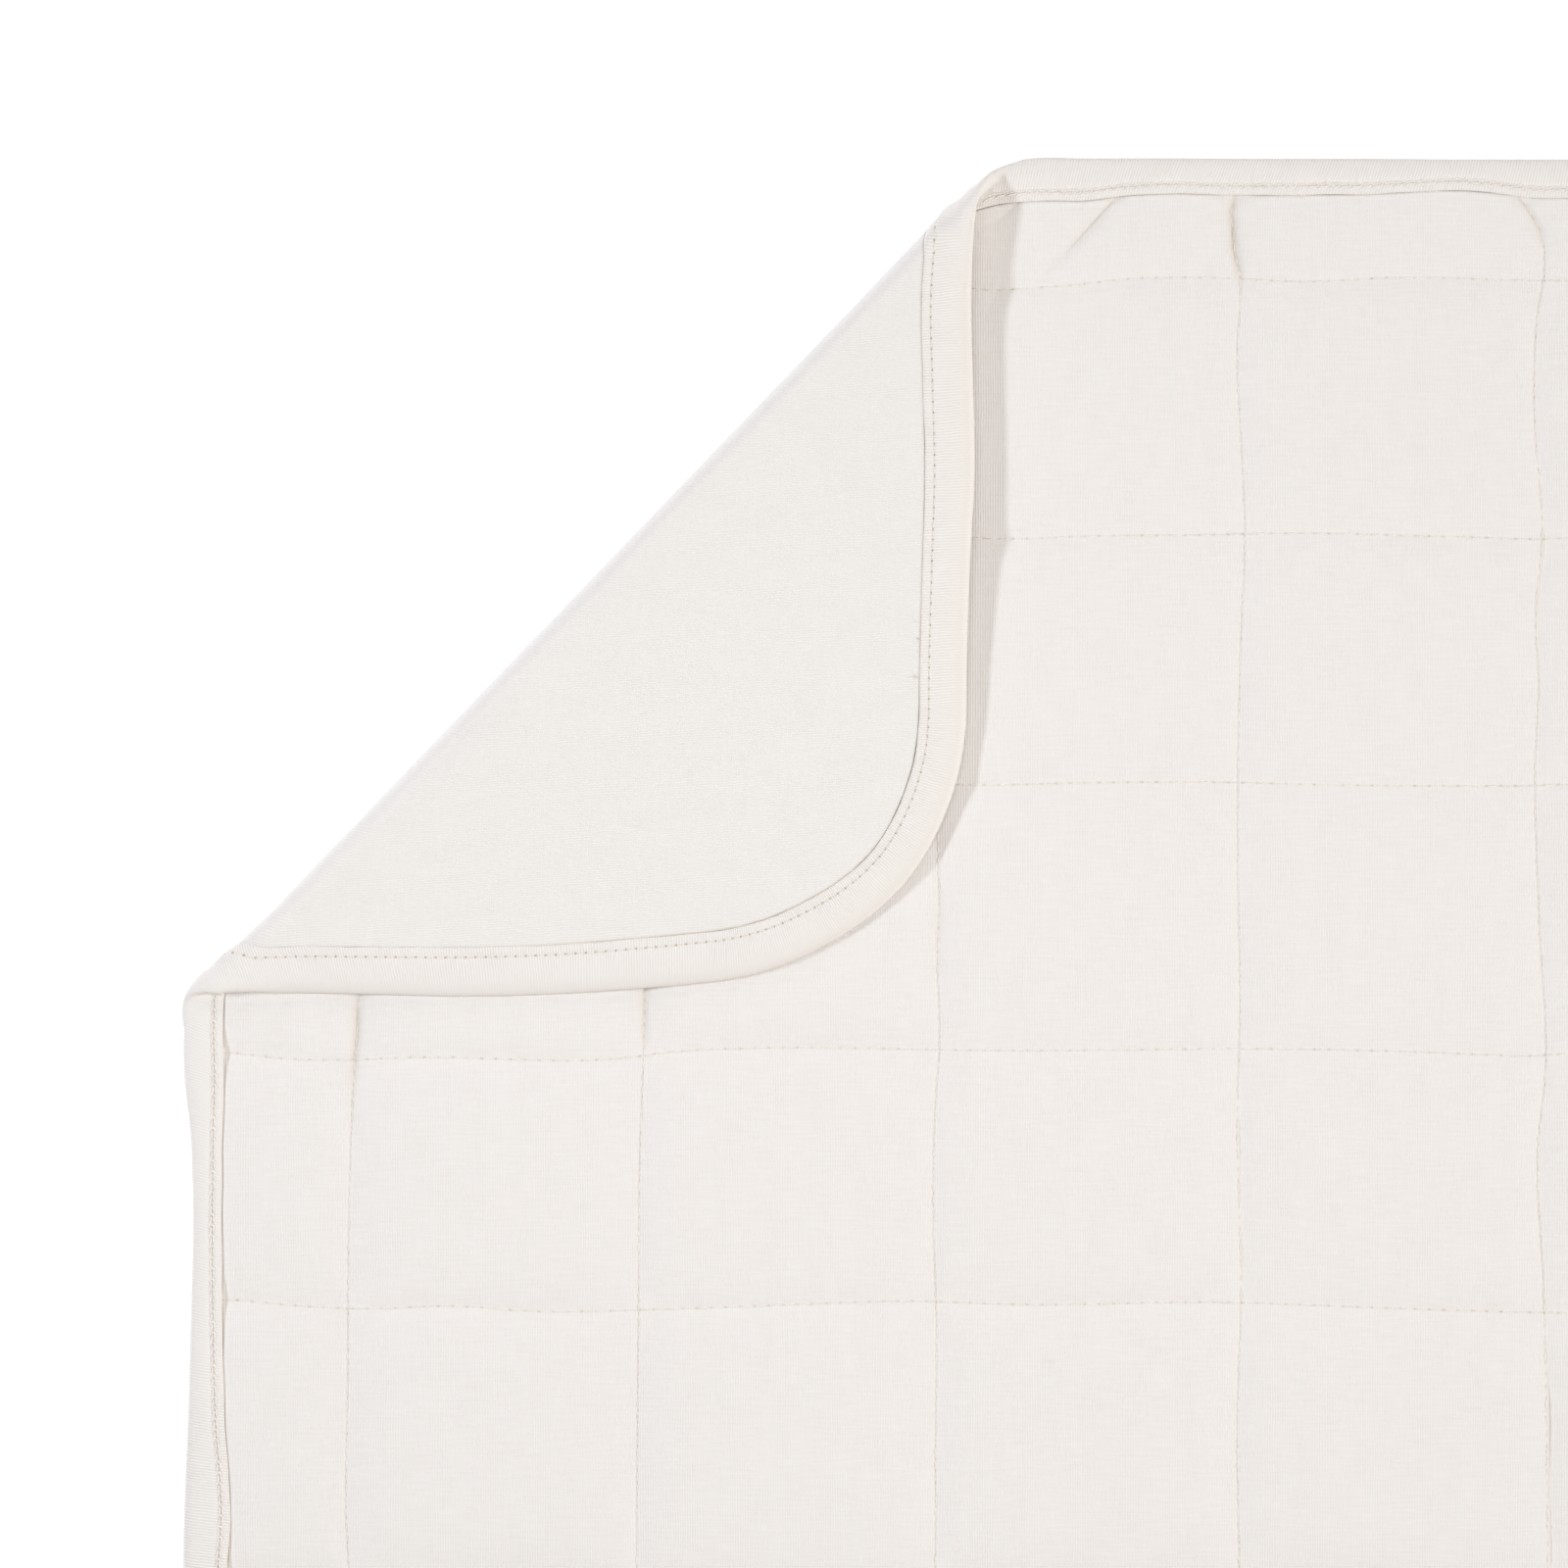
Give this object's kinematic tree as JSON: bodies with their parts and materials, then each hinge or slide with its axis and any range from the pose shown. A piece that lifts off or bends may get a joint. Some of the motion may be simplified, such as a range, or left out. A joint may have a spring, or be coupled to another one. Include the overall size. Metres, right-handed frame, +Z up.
{
  "type": "quilted blanket",
  "caption": "Thin quilted cot blanket with a plain jersey back and bound edge, lying flat with its top left corner folded over.",
  "frame": {"origin": "centre of the blanket's outline, on the surface that it lies on", "axes": "+X to the right edge, +Y to the head edge where the corner is folded, +Z up from the surface"},
  "size_m": [0.7495, 0.9996, 0.011],
  "materials": {
    "quilted_jersey": "matte",
    "plain_jersey": "matte",
    "binding_jersey": "matte"
  },
  "bodies": {
    "root": {"front_panel": "quilted_jersey", "back_panel": "plain_jersey", "binding": "binding_jersey"}
  },
  "joints": []
}
